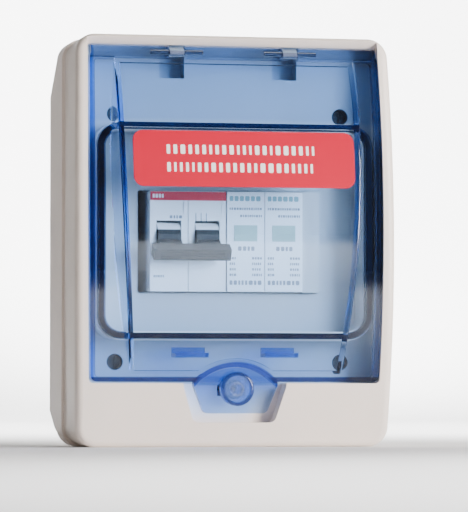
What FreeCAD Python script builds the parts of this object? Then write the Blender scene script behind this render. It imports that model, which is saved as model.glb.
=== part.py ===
import FreeCAD, Part
import math
import os

import Sketcher

# A small surface-mounted weatherproof enclosure for a solar installation: a moulded base and
# arched front cover, a tinted clear door hinged along its top edge, and a rail of devices.
# X runs to the right as seen from the front, Z runs up, and the front faces -Y.  The origin is
# the centre of the back face that goes against the wall, so "depth" below is measured along -Y.

DOC = FreeCAD.newDocument("combiner_box")
SHEET = DOC.addObject("Spreadsheet::Sheet", "Sizes")

DRIVING = {
    # case outline
    "case_half_width": 73.1,
    "case_half_height": 92.5,
    "case_corner": 9.0,
    "wall": 2.5,
    "shadow_step": 1.3,
    "flange_back": 27.0,
    "parting_depth": 42.0,
    "skirt_depth": 52.0,
    "slope_top": 22.0,
    "slope_bottom": 15.0,
    "wall_hole_across": 58.0,
    "wall_hole_up": 44.0,
    "wall_hole_radius": 2.6,
    "wall_boss_radius": 5.6,
    "knock_out_offset": 32.0,
    "knock_out_radius": 10.2,
    "knock_out_inner": 9.4,
    "side_bow_radius": 2650.0,
    "side_bow_rise": 1.6,
    # arched front
    "arch_radius": 475.0,
    "arch_peak": 81.0,
    "cover_edge_round": 3.4,
    # door
    "door_margin": 5.6,
    "door_gap": 0.6,
    "door_bottom": 63.3,
    "door_proud": 1.0,
    "door_wall": 2.4,
    "door_skirt": 6.0,
    "hinge_height": 84.2,
    "hinge_depth": 71.1,
    "barrel_radius": 3.4,
    "hinge_pin_radius": 1.0,
    "hinge_offset": 26.0,
    "ear_half_width": 3.2,
    "ear_way_half": 3.7,
    "pin_half_length": 11.5,
    "pocket_half_width": 5.7,
    "pocket_floor": 52.0,
    "pocket_bottom": 73.5,
    "pocket_top": 81.8,
    "snap_near": 13.0,
    "snap_far": 28.0,
    "snap_height": 50.2,
    "raised_peak": 93.3,
    "raised_arch": 160.0,
    "raised_centre": 8.0,
    "raised_back": 66.0,
    "raised_top": 87.0,
    "raised_bottom": 62.8,
    "raised_half_top": 56.5,
    "raised_half_bottom": 50.6,
    "raised_side_bow": 400.0,
    "raised_draft": 14.0,
    "raised_round": 1.0,
    "latch_bay_radius": 26.0,
    "label_left": 49.1,
    "label_right": 51.3,
    "label_bottom": 23.0,
    "label_top": 48.1,
    "label_thickness": 0.8,
    # inside of the front cover
    "panel_depth": 60.0,
    "rib_half_width": 63.3,
    "rib_half_height": 48.7,
    "rib_centre": 4.1,
    "rib_width": 4.2,
    "rib_corner": 11.3,
    "seal_width": 2.8,
    "seal_front": 76.2,
    "window_half_width": 41.5,
    "window_half_height": 23.0,
    "screw_offset": 52.0,
    "screw_top": 57.2,
    "screw_bottom": 54.2,
    "screw_seat": 53.5,
    "boss_radius": 4.6,
    "column_radius": 5.2,
    "insert_radius": 2.8,
    "insert_depth": 8.0,
    "screw_head_radius": 3.4,
    "screw_radius": 1.9,
    # latch
    "latch_height": 66.5,
    "latch_knob_radius": 7.6,
    "latch_shaft_radius": 2.9,
    "recess_floor": 66.0,
    # rail and devices
    "rail_half_height": 17.5,
    "rail_half_length": 56.0,
    "rail_back": 9.0,
    "rail_rise": 7.5,
    "rail_gauge": 1.0,
    "rail_screw_offset": 47.0,
    "module": 17.6,
    "devices_left": 37.0,
    "device_half_height": 40.0,
    "device_back": 12.6,
    "device_shoulder": 49.0,
    "device_front": 65.0,
    "device_nose": 22.5,
    "toggle_depth": 60.0,
    "toggle_height": 1.5,
    "toggle_radius": 7.0,
    "toggle_lean": 28.0,
    # earth bar
    "earth_height": 59.0,
    "earth_seat": 14.0,
    "earth_anchor_offset": 20.0,
    "earth_screw_pitch": 7.2,
}


class Size:
    """A number together with the sheet formula that gives it."""

    def __init__(self, number, formula):
        self.number = number
        self.formula = formula

    def joined(self, other, sign, number):
        """A new size from this one and another, put together by one arithmetic sign."""
        return Size(number, f"({self.formula} {sign} {as_size(other).formula})")

    def __add__(self, other):
        return self.joined(other, "+", self.number + as_size(other).number)

    def __radd__(self, other):
        return as_size(other) + self

    def __sub__(self, other):
        return self.joined(other, "-", self.number - as_size(other).number)

    def __rsub__(self, other):
        return as_size(other) - self

    def __mul__(self, other):
        return self.joined(other, "*", self.number * as_size(other).number)

    def __rmul__(self, other):
        return as_size(other) * self

    def __truediv__(self, other):
        return self.joined(other, "/", self.number / as_size(other).number)

    def __neg__(self):
        return Size(-self.number, f"(0 - {self.formula})")


def as_size(value):
    """Plain numbers become sizes whose formula is the number itself."""
    if isinstance(value, Size):
        return value
    return Size(float(value), f"({float(value)!r})")


def fill_sheet():
    """Write the driving dimensions to the sheet, and give each back as a size by name."""
    sizes = {}
    for row, (alias, number) in enumerate(DRIVING.items(), start=1):
        SHEET.set(f"A{row}", alias.replace("_", " "))
        SHEET.set(f"B{row}", str(number))
        SHEET.setAlias(f"B{row}", alias)
        sizes[alias] = Size(number, f"Sizes.{alias}")
    DOC.recompute()
    return sizes


S = fill_sheet()
SUB_PARTS = []


def bind(item, path, value):
    """Tie one property of an object to its formula."""
    size = as_size(value)
    item.setExpression(path, size.formula)


def place(item, across, depth, up, turn=None):
    """Put an object's own origin at a point, with an optional fixed rotation."""
    if turn is not None:
        item.Placement = FreeCAD.Placement(FreeCAD.Vector(0, 0, 0), turn)
    bind(item, "Placement.Base.x", across)
    bind(item, "Placement.Base.y", -as_size(depth))
    bind(item, "Placement.Base.z", up)
    return item


ALONG_X = FreeCAD.Rotation(FreeCAD.Vector(0, 1, 0), 90)
TOWARD_FRONT = FreeCAD.Rotation(FreeCAD.Vector(1, 0, 0), 90)


def block(name, across, depth, up):
    """A box from three (low, high) pairs: across X, in depth from the wall, and up Z."""
    item = DOC.addObject("Part::Box", name)
    bind(item, "Length", as_size(across[1]) - across[0])
    bind(item, "Width", as_size(depth[1]) - depth[0])
    bind(item, "Height", as_size(up[1]) - up[0])
    return place(item, across[0], depth[1], up[0])


def stud(name, across, depth, up, radius):
    """A round bar that points at the front, from the first depth to the second."""
    item = DOC.addObject("Part::Cylinder", name)
    bind(item, "Radius", radius)
    bind(item, "Height", as_size(depth[1]) - depth[0])
    return place(item, across, depth[0], up, TOWARD_FRONT)


def axle(name, across, depth, up, radius):
    """A round bar along X, from the first X to the second."""
    item = DOC.addObject("Part::Cylinder", name)
    bind(item, "Radius", radius)
    bind(item, "Height", as_size(across[1]) - across[0])
    return place(item, across[0], depth, up, ALONG_X)


def post(name, across, depth, up, radius):
    """A round bar along Z, from the first height to the second."""
    item = DOC.addObject("Part::Cylinder", name)
    bind(item, "Radius", radius)
    bind(item, "Height", as_size(up[1]) - up[0])
    return place(item, across, depth, up[0])


def fuse(name, *shapes):
    """One solid from several that touch."""
    item = DOC.addObject("Part::MultiFuse", name)
    item.Shapes = list(shapes)
    item.Refine = True
    return item


def group(name, *shapes):
    """Several separate solids kept together as one sub-part."""
    item = DOC.addObject("Part::Compound", name)
    item.Links = list(shapes)
    return item


def cut(name, base, *tools):
    """The base with every tool taken away."""
    item = DOC.addObject("Part::Cut", name)
    item.Base = base
    item.Tool = tools[0] if len(tools) == 1 else fuse(name + "_tools", *tools)
    item.Refine = True
    return item


def common(name, first, second):
    """What two solids share."""
    item = DOC.addObject("Part::Common", name)
    item.Base = first
    item.Tool = second
    item.Refine = True
    return item


def round_edges(name, base, radius, wanted):
    """Round the edges of an object that the test picks."""
    DOC.recompute()
    item = DOC.addObject("Part::Fillet", name)
    item.Base = base
    picked = [
        (number, radius, radius)
        for number, edge in enumerate(base.Shape.Edges, start=1)
        if wanted(edge)
    ]
    if not picked:
        raise RuntimeError(f"{name}: no edge to round")
    item.Edges = picked
    return item


def runs_forward(edge):
    """True for an edge that joins the back of a prism to its front."""
    if len(edge.Vertexes) != 2:
        return False
    span = edge.Vertexes[0].Point - edge.Vertexes[1].Point
    return abs(span.y) > 0.9 * span.Length


def add_loop(sketch, corners, bows):
    """Draw a closed loop, counter-clockwise, with every corner and arc tied to the sheet."""
    points = [FreeCAD.Vector(as_size(x).number, as_size(y).number, 0) for x, y in corners]
    count = len(points)
    sides = []
    for index, start in enumerate(points):
        end = points[(index + 1) % count]
        if index in bows:
            radius = as_size(bows[index]).number
            chord = end - start
            rise = radius - math.sqrt(radius ** 2 - chord.Length ** 2 / 4)
            outward = FreeCAD.Vector(chord.y, -chord.x, 0).normalize()
            shape = Part.Arc(start, (start + end) * 0.5 + outward * rise, end)
        else:
            shape = Part.LineSegment(start, end)
        sides.append(sketch.addGeometry(shape, False))
    for index, side in enumerate(sides):
        follower = sides[(index + 1) % count]
        sketch.addConstraint(Sketcher.Constraint("Coincident", side, 2, follower, 1))
    for side, (across, up) in zip(sides, corners):
        for kind, value in (("DistanceX", as_size(across)), ("DistanceY", as_size(up))):
            rule = Sketcher.Constraint(kind, -1, 1, side, 1, value.number)
            number = sketch.addConstraint(rule)
            sketch.setExpression(f"Constraints[{number}]", value.formula)
    for index, radius in bows.items():
        rule = Sketcher.Constraint("Radius", sides[index], as_size(radius).number)
        number = sketch.addConstraint(rule)
        sketch.setExpression(f"Constraints[{number}]", as_size(radius).formula)


def new_body(name, plane, offset, corners, bows):
    """A body with one closed sketch on one of its own origin planes."""
    body = DOC.addObject("PartDesign::Body", name)
    sketch = body.newObject("Sketcher::SketchObject", name + "_sketch")
    origin = [item for item in body.Origin.OriginFeatures if item.Role == plane]
    sketch.AttachmentSupport = [(origin[0], "")]
    sketch.MapMode = "FlatFace"
    bind(sketch, "AttachmentOffset.Base.z", offset)
    add_loop(sketch, corners, bows)
    return body, sketch


def prism(name, corners, depth, bows=None, corner=None, draft=None):
    """A solid with a front-view outline, from the first depth to the second."""
    body, sketch = new_body(name, "XZ_Plane", depth[0], corners, bows or {})
    pad = body.newObject("PartDesign::Pad", name + "_pad")
    pad.Profile = sketch
    bind(pad, "Length", as_size(depth[1]) - depth[0])
    if draft is not None:
        bind(pad, "TaperAngle", -as_size(draft))
    if corner is not None:
        DOC.recompute()
        fillet = body.newObject("PartDesign::Fillet", name + "_corners")
        edges = [
            f"Edge{number}"
            for number, edge in enumerate(pad.Shape.Edges, start=1)
            if runs_forward(edge) or (draft is not None and leans_forward(edge))
        ]
        fillet.Base = (pad, edges)
        bind(fillet, "Radius", corner)
    return body


def leans_forward(edge):
    """True for a corner edge of a drafted prism."""
    if len(edge.Vertexes) != 2:
        return False
    span = edge.Vertexes[0].Point - edge.Vertexes[1].Point
    return abs(span.y) > 0.6 * span.Length


def side_profile(name, corners, half_length, centre=0.0):
    """A solid with a side-view outline of (depth, height) corners, centred along X."""
    flipped = [(-as_size(depth), up) for depth, up in corners]
    body, sketch = new_body(name, "YZ_Plane", centre, flipped, {})
    pad = body.newObject("PartDesign::Pad", name + "_pad")
    pad.Profile = sketch
    pad.SideType = "Symmetric"
    bind(pad, "Length", 2 * as_size(half_length))
    return body


def rectangle(half_width, bottom, top):
    """Corners of an upright rectangle centred on X = 0."""
    return uneven_rectangle(half_width, half_width, bottom, top)


def uneven_rectangle(left, right, bottom, top):
    """Corners of an upright rectangle that reaches these distances to each side of X = 0."""
    return [(right, top), (-left, top), (-left, bottom), (right, bottom)]


def arch(name, peak, radius=None, centre=0.0):
    """A big round bar along X whose front is the arched surface with this peak depth."""
    bend = S["arch_radius"] if radius is None else radius
    own_radius = bend + as_size(peak) - (S["arch_peak"] if radius is None else S["raised_peak"])
    length = (-(S["case_half_width"] + 20), S["case_half_width"] + 20)
    return axle(name, length, as_size(peak) - own_radius, centre, own_radius)


def finish_part(item, label):
    """Give a sub-part the name that its file carries."""
    item.Label = label
    SUB_PARTS.append(item)
    return item


def bowed_outline(inset, bottom, top):
    """The front-view outline that the cover and the door share, moved in by an inset."""
    half = S["case_half_width"] - S["side_bow_rise"] - inset
    return rectangle(half, bottom, top)


SIDE_BOWS = {1: S["side_bow_radius"], 3: S["side_bow_radius"]}


# ---------------------------------------------------------------- base

def tub_profile(name, inset, back, front, half_length):
    """The side view of the base, with its sloped shoulders at top and bottom."""
    high = S["case_half_height"] - S["shadow_step"] - inset
    lean = 0.55 * as_size(inset)
    corners = [
        (back, high - S["slope_top"] - lean),
        (S["flange_back"] + lean, high),
        (front, high),
        (front, -high),
        (S["flange_back"] + lean, -high),
        (back, -high + S["slope_bottom"] + lean),
    ]
    return side_profile(name, corners, half_length)


def make_base():
    width = S["case_half_width"]
    height = S["case_half_height"]
    parting = S["parting_depth"]
    tub_half = width - S["shadow_step"]
    shell_outline = rectangle(tub_half, -(height - S["shadow_step"]), height - S["shadow_step"])
    shell_prism = prism("tub_prism", shell_outline, (0, parting), corner=S["case_corner"] - 1)
    shell = common("tub_shell", shell_prism, tub_profile("tub_side", 0, 0, parting, width))
    flange_outline = rectangle(width, -height, height)
    flange = prism(
        "flange_band", flange_outline, (S["flange_back"], parting), corner=S["case_corner"])
    inner_half = tub_half - S["wall"]
    inner_high = height - S["shadow_step"] - S["wall"]
    hollow_prism = prism(
        "hollow_prism", rectangle(inner_half, -inner_high, inner_high), (S["wall"], parting + 1),
        corner=S["case_corner"] - 3)
    hollow = common(
        "tub_hollow", hollow_prism,
        tub_profile("hollow_side", S["wall"], S["wall"], parting + 1, width))
    body = cut("tub_open", fuse("tub_outer", shell, flange), hollow)

    inner = S["wall"] - 0.2
    columns = []
    holes = []
    for across in (-S["screw_offset"], S["screw_offset"]):
        for up in (S["screw_top"], -S["screw_bottom"]):
            columns.append(
                stud("screw_boss", across, (inner, parting + 2), up, S["boss_radius"]))
            holes.append(stud("insert_seat", across, (parting - S["insert_depth"], parting + 3),
                              up, S["insert_radius"]))
    for across in (-S["wall_hole_across"], S["wall_hole_across"]):
        for up in (-S["wall_hole_up"], S["wall_hole_up"]):
            columns.append(stud("wall_boss", across, (inner, 5.5), up, S["wall_boss_radius"]))
            holes.append(stud("wall_hole", across, (-1, 7), up, S["wall_hole_radius"]))
    for across in (-S["rail_screw_offset"], S["rail_screw_offset"]):
        columns.append(stud("rail_post", across, (inner, S["rail_back"]), 0, 5.0))
        holes.append(stud("rail_pilot", across, (4, S["rail_back"] + 1), 0, 1.4))
    earth_up = -S["earth_height"]
    for across in (-S["earth_anchor_offset"], S["earth_anchor_offset"]):
        columns.append(stud("earth_post", across, (inner, S["earth_seat"]), earth_up, 3.6))
        holes.append(stud("earth_pilot", across, (6, S["earth_seat"] + 1), earth_up, 1.2))
    ribs = [
        block("floor_rib", (-60, 60), (inner, 4.6), (up - 0.8, up + 0.8)) for up in (-34.0, 34.0)
    ]
    groove = cut(
        "seal_groove",
        prism("groove_outer", rectangle(width - 1.65, 1.65 - height, height - 1.65),
              (parting - 1.6, parting + 1), corner=S["case_corner"] - 1.65),
        prism("groove_inner", rectangle(width - 2.95, 2.95 - height, height - 2.95),
              (parting - 2, parting + 2), corner=S["case_corner"] - 2.95))
    solid = fuse("tub_fitted", body, *columns, *ribs)
    base = cut("base_cut", solid, groove, *holes, *knock_out_rings())
    finish_part(base, "base_tub")

    seal = cut(
        "base_seal_ring",
        prism("seal_outer", rectangle(width - 1.7, 1.7 - height, height - 1.7),
              (parting - 1.6, parting), corner=S["case_corner"] - 1.7),
        prism("seal_inner", rectangle(width - 2.9, 2.9 - height, height - 2.9),
              (parting - 2, parting + 1), corner=S["case_corner"] - 2.9))
    finish_part(seal, "base_gasket")


def knock_out_rings():
    """Score lines of the round cable knock-outs in the sloped top and bottom shoulders."""
    rings = []
    height = (S["case_half_height"] - S["shadow_step"]).number
    run = S["flange_back"].number
    shoulders = (
        (S["slope_top"].number, height, 1.0),
        (S["slope_bottom"].number, -height, -1.0),
    )
    for drop, edge, side in shoulders:
        outward = FreeCAD.Vector(0, drop, side * run).normalize()
        spin = FreeCAD.Rotation(FreeCAD.Vector(0, 0, 1), outward)
        for across in (-S["knock_out_offset"].number, S["knock_out_offset"].number):
            middle = FreeCAD.Vector(across, -run / 2, edge - side * drop / 2)
            discs = []
            for radius in (S["knock_out_radius"], S["knock_out_inner"]):
                disc = DOC.addObject("Part::Cylinder", "knock_out_disc")
                bind(disc, "Radius", radius)
                disc.Height = 4.0
                disc.Placement = FreeCAD.Placement(middle - outward * 1.2, spin)
                discs.append(disc)
            rings.append(cut("knock_out_score", *discs))
    return rings


# ---------------------------------------------------------------- front cover

def tab_corners(spread, bottom):
    """The tapering outline of the latch tab, widened by a spread."""
    top = -(S["door_bottom"] - 2.0)
    return [
        (20.6 + spread, top), (-(20.6 + spread), top), (-(14.4 + spread), bottom),
        (14.4 + spread, bottom),
    ]


def make_cover():
    height = S["case_half_height"]
    front = S["arch_peak"] + 10
    parting = S["parting_depth"]
    skirt = S["skirt_depth"]
    panel = S["panel_depth"]
    outer = common(
        "cover_arched",
        prism("cover_outline", bowed_outline(0, -height, height), (skirt, front), SIDE_BOWS,
              corner=S["case_corner"]),
        arch("cover_arch", S["arch_peak"]))
    outer = round_edges(
        "cover_rounded", outer, S["cover_edge_round"].number,
        lambda edge: edge.BoundBox.YMax < -(skirt.number + 15))
    step = height - S["shadow_step"]
    half = S["case_half_width"] - S["shadow_step"]
    band = prism("cover_band", rectangle(half, -step, step), (parting, skirt + 0.5),
                 corner=S["case_corner"] - 1.3)
    body = fuse("cover_outer", outer, band)

    inner = S["case_half_width"] - S["side_bow_rise"] - S["wall"]
    hollow = prism("cover_hollow", rectangle(inner, 3.8 - height, height - 3.8),
                   (parting - 1, panel - S["wall"]), corner=S["case_corner"] - 3.8)
    gap = S["door_gap"]
    bottom = -(S["door_bottom"] + gap)
    top = S["hinge_height"] + S["barrel_radius"] + 0.5
    well = prism(
        "door_well", bowed_outline(S["door_margin"] - gap, bottom, top), (panel, front + 5),
        SIDE_BOWS, corner=2.0)
    lip = lip_chamfer()
    recess = prism("latch_recess", tab_corners(4.2, -81.5), (S["recess_floor"], front + 5),
                   corner=3.5)
    recess_walls = prism("recess_walls", tab_corners(7.0, -84.6), (panel - S["wall"] - 6, 72),
                         corner=4.5)
    lower_void = cut(
        "lower_void",
        block("lower_hollow", (-inner, inner), (panel - S["wall"] - 1, 69.5),
              (4.4 - height, bottom - 2.6)),
        recess_walls)
    window = prism(
        "device_window",
        rectangle(S["window_half_width"], -S["window_half_height"], S["window_half_height"]),
        (panel - 6, panel + 3), corner=1.0)
    band_half = S["window_half_height"] + 0.3
    band_groove = block("window_band", (-57, 57), (panel - 0.5, panel + 2), (-band_half, band_half))
    keyhole = [
        stud("latch_hole", 0, (50, 70), -S["latch_height"], 4.3),
        block("latch_slot", (-6.4, 6.4), (50, 70),
              (-S["latch_height"] - 2.4, -S["latch_height"] + 2.4)),
    ]
    body = cut("cover_shell", body, hollow, well, lip, recess, lower_void, *keyhole)
    floor_pad = block("recess_underside", (-30, 30), (56, 63.4), (-90, bottom + 0.1))
    body = cut("cover_relieved", body, floor_pad)
    body = cut("cover_framed", body, window, band_groove)

    hinge_places = (-S["hinge_offset"], S["hinge_offset"])
    pocket_backs = []
    pockets = []
    for across in hinge_places:
        half_way = S["pocket_half_width"]
        pockets.append(block("hinge_pocket", (across - half_way, across + half_way),
                             (S["pocket_floor"], panel + 1), (S["pocket_bottom"], S["pocket_top"])))
        half_back = half_way + 1.5
        pocket_backs.append(block("hinge_pocket_back", (across - half_back, across + half_back),
                                  (S["pocket_floor"] - 1.5, panel - 1),
                                  (S["pocket_bottom"] - 1.5, S["pocket_top"] + 2.2)))
    low = S["rib_centre"] - S["rib_half_height"]
    high = S["rib_centre"] + S["rib_half_height"]
    rib_wide = S["rib_half_width"]
    rib_in = S["rib_width"]
    rib_outer = prism("rib_outer", rectangle(rib_wide, low, high), (panel - 1, 74.4),
                      corner=S["rib_corner"])
    rib_inner = prism(
        "rib_inner", rectangle(rib_wide - rib_in, low + rib_in, high - rib_in), (panel - 2, 76),
        corner=S["rib_corner"] - rib_in)
    rib = cut("seal_rib", rib_outer, rib_inner)
    posts = []
    holes = []
    for across in (-S["screw_offset"], S["screw_offset"]):
        for up in (S["screw_top"], -S["screw_bottom"]):
            posts.append(stud("screw_column", across, (parting + 2, panel - 0.5), up,
                              S["column_radius"]))
            holes.append(stud("screw_well", across, (S["screw_seat"], panel + 20), up,
                              S["screw_head_radius"] + 0.3))
            holes.append(stud("screw_way", across, (parting, panel), up, 2.2))
    ears = []
    for across in hinge_places:
        side = (across - S["ear_half_width"], across + S["ear_half_width"])
        ears.append(block("hinge_ear", side, (panel - 1, S["hinge_depth"]),
                          (S["hinge_height"] - 2.2, S["hinge_height"] + 1.2)))
        ears.append(axle("hinge_eye", side, S["hinge_depth"], S["hinge_height"], 2.2))
        pin_way = (across - 5, across + 5)
        holes.append(axle("ear_bore", pin_way, S["hinge_depth"], S["hinge_height"],
                          S["hinge_pin_radius"]))
    groove = seal_ring("rib_groove", 0.05, (72.8, 75))
    fitted = fuse("cover_fitted", body, rib, *posts, *ears, *pocket_backs)
    finish_part(cut("cover_cut", fitted, groove, *holes, *pockets), "front_cover")
    finish_part(seal_ring("door_seal", 0.0, (72.8, S["seal_front"])), "door_gasket")


def lip_chamfer():
    """The diamond bar that bevels the lip above the door, so that the door can swing past it."""
    depth = S["hinge_depth"] + 1.8
    up = S["hinge_height"] + 3.9
    reach = 4.3
    corners = [(depth, up + reach), (depth + reach, up), (depth, up - reach), (depth - reach, up)]
    half = S["case_half_width"] - S["side_bow_rise"] - S["door_margin"] + S["door_gap"]
    return side_profile("top_lip_chamfer", corners, half + 0.2)


def seal_ring(name, slack, depth):
    """The rounded rectangular ring that the door seal fills, or with slack, its groove."""
    outer_in = 0.7 - as_size(slack)
    inner_in = outer_in + S["seal_width"] + 2 * as_size(slack)
    wide = S["rib_half_width"]
    low = S["rib_centre"] - S["rib_half_height"]
    high = S["rib_centre"] + S["rib_half_height"]
    outer = prism(name + "_outer", rectangle(wide - outer_in, low + outer_in, high - outer_in),
                  depth, corner=S["rib_corner"] - outer_in)
    inner = prism(
        name + "_inner", rectangle(wide - inner_in, low + inner_in, high - inner_in),
        (as_size(depth[0]) - 1, as_size(depth[1]) + 1), corner=S["rib_corner"] - inner_in)
    return cut(name, outer, inner)


# ---------------------------------------------------------------- door

def raised_middle(name, inset, top):
    """The drafted, arched swell in the middle of the door, which fades out at both ends."""
    bottom = -(S["raised_bottom"] - inset)
    wide = S["raised_half_top"] - inset
    narrow = S["raised_half_bottom"] - inset
    outline = [(wide, top), (-wide, top), (-narrow, bottom), (narrow, bottom)]
    bows = {1: S["raised_side_bow"], 3: S["raised_side_bow"]}
    swell = prism(name + "_block", outline, (S["raised_back"], 98), bows, draft=S["raised_draft"])
    bend = arch(name + "_arch", S["raised_peak"] - inset, S["raised_arch"], S["raised_centre"])
    bay = latch_bay(name + "_bay", (S["raised_back"] - 1, 100), S["latch_bay_radius"] + inset)
    return cut(name, common(name + "_arched", swell, bend), bay)


def latch_bay(name, depth, radius):
    """A round bar whose top is the arc over the latch."""
    return stud(name, 0, depth, -(S["latch_height"] + 14.2), radius)


def make_door():
    inset = S["door_margin"]
    wall = S["door_wall"]
    bottom = -S["door_bottom"]
    hinge_up = S["hinge_height"]
    hinge_in = S["hinge_depth"]
    peak = S["arch_peak"] + S["door_proud"]
    plate = common(
        "door_plate",
        prism("door_outline", bowed_outline(inset, bottom, hinge_up + 0.4), (60, 90), SIDE_BOWS,
              corner=3.0),
        arch("door_arch", peak))
    tab = common(
        "latch_tab",
        prism("tab_outline", tab_corners(0.0, -77.4), (73.4, 90), corner=3.0),
        arch("tab_arch", peak))
    skirted = cut("door_skirted", plate, arch("skirt_arch", peak - S["door_skirt"]))
    half = S["case_half_width"] - S["side_bow_rise"] - inset
    barrel = axle("hinge_barrel", (0.6 - half, half - 0.6), hinge_in, hinge_up, S["barrel_radius"])
    raised = round_edges(
        "raised_rounded", raised_middle("raised", 0.0, S["raised_top"]), S["raised_round"].number,
        lambda edge: edge.Length > 100 and edge.BoundBox.YMin < -85)
    raised = cut("raised_step", raised, arch("plate_middle", peak - 0.5 * wall))
    inner_top = hinge_up - S["barrel_radius"]
    flange_void = common(
        "flange_void",
        prism("flange_void_block", bowed_outline(inset + wall, bottom + wall, inner_top),
              (58, 90), SIDE_BOWS, corner=1.5),
        arch("flange_void_arch", peak - wall))
    raised_void = raised_middle("raised_void", wall - 0.1, inner_top - 0.2)
    outside = fuse("door_outside", skirted, tab, barrel, raised)
    shell = cut("door_shell", outside, flange_void, raised_void)
    bay_radius = S["latch_bay_radius"]
    bay_ring = cut("bay_ring", latch_bay("bay_outer", (71.5, 90), bay_radius),
                   latch_bay("bay_inner", (70, 91), bay_radius - 1.8))
    bay_wall = common("bay_wall", bay_ring, plate)

    full = fuse("door_full", plate, raised)
    land = common("seal_land", seal_land_ring(), full)
    hooks = []
    arm_top = -S["snap_height"]
    arm_bottom = arm_top - 1.8
    for span in ((-S["snap_far"], -S["snap_near"]), (S["snap_near"], S["snap_far"])):
        hooks.append(block("snap_arm", span, (69, 80.8), (arm_bottom, arm_top)))
        hooks.append(block("snap_nose", span, (69, 71), (arm_bottom, arm_top + 2.6)))
    solid = fuse("door_solid", shell, land, bay_wall, *hooks)
    knob_up = -S["latch_height"]
    tools = [
        stud("knob_hole", 0, (60, 95), knob_up, S["latch_shaft_radius"] + 0.3),
        stud("knob_seat", 0, (77.5, 95), knob_up, S["latch_knob_radius"] + 0.5),
        block("seal_notch", (-5, 5), (60, 74), (bottom - 0.7, bottom + 2.8)),
    ]
    for across in (-S["hinge_offset"], S["hinge_offset"]):
        near = across - S["ear_way_half"]
        far = across + S["ear_way_half"]
        tools.append(axle("ear_way", (near, far), hinge_in, hinge_up, 2.55))
        tools.append(block("ear_top", (near, far), (60, 80), (hinge_up + 0.9, hinge_up + 5)))
        tools.append(block("ear_back", (near, far), (60, hinge_in),
                           (hinge_up - 4.5, hinge_up + 5)))
        bore_half = S["pin_half_length"] + 0.5
        tools.append(axle("pin_bore", (across - bore_half, across + bore_half), hinge_in, hinge_up,
                          S["hinge_pin_radius"] + 0.06))
    finish_part(cut("door_cut", solid, *tools), "door")

    pins = [
        axle("hinge_pin", (across - S["pin_half_length"], across + S["pin_half_length"]), hinge_in,
             hinge_up, S["hinge_pin_radius"])
        for across in (-S["hinge_offset"], S["hinge_offset"])
    ]
    finish_part(group("hinge_pin_pair", *pins), "hinge_pins")

    label_outline = uneven_rectangle(S["label_left"], S["label_right"], S["label_bottom"],
                                     S["label_top"])
    plate_block = prism("label_block", label_outline, (80, 98), corner=4.5)
    thick = common("label_thick", plate_block,
                   arch("label_front", S["raised_peak"] + S["label_thickness"],
                        S["raised_arch"], S["raised_centre"]))
    label = cut("label_sheet", thick,
                arch("label_back", S["raised_peak"], S["raised_arch"], S["raised_centre"]))
    finish_part(label, "label_plate")


def seal_land_ring():
    """The ring inside the door that presses on the seal."""
    wide = S["rib_half_width"] - 1.0
    low = S["rib_centre"] - S["rib_half_height"] + 1.0
    high = S["rib_centre"] + S["rib_half_height"] - 1.0
    outer = prism("land_outer", rectangle(wide, low, high), (S["seal_front"] + 0.35, 95),
                  corner=S["rib_corner"] - 1.0)
    inner = prism("land_inner", rectangle(wide - 2.2, low + 2.2, high - 2.2), (70, 96),
                  corner=S["rib_corner"] - 3.2)
    return cut("land_ring", outer, inner)


def make_latch():
    up = -S["latch_height"]
    shaft = S["latch_shaft_radius"]
    head = stud("knob_head", 0, (77.75, 82.4), up, S["latch_knob_radius"])
    head = round_edges("knob_head_round", head, 1.2,
                       lambda edge: edge.BoundBox.YMax < -82.0 and len(edge.Vertexes) == 1)
    dish = cut("knob_dish", stud("dish_outer", 0, (80.6, 84), up, 5.9),
               stud("dish_inner", 0, (80, 85), up, 2.7))
    slot = block("key_slot", (-0.6, 0.6), (81.0, 84), (up - 2.0, up + 2.0))
    stem = stud("knob_stem", 0, (63.0, 78), up, shaft)
    tip = stud("knob_tip", 0, (60.4, 63.5), up, 1.6)
    knob = cut("knob_cut", fuse("knob_body", head, stem, tip), dish, slot)
    finish_part(knob, "latch_knob")
    cam = cut(
        "cam_cut",
        block("cam_bar", (-5.6, 5.6), (60.4, 62.9), (up - 1.9, up + 1.9)),
        stud("cam_bore", 0, (59, 64), up, 1.6))
    finish_part(cam, "latch_cam")
    washer = stud("cam_washer", 0, (59.2, 60.4), up, 2.6)
    finish_part(washer, "latch_retainer")
    ring = DOC.addObject("Part::Torus", "knob_ring")
    ring.Radius1 = 3.6
    ring.Radius2 = 0.6
    place(ring, 0, 72.4, up, TOWARD_FRONT)
    seal = cut("knob_seal_cut", ring, stud("seal_bore", 0, (70, 75), up, shaft + 0.02))
    finish_part(seal, "latch_seal")


# ---------------------------------------------------------------- rail and devices

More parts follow.
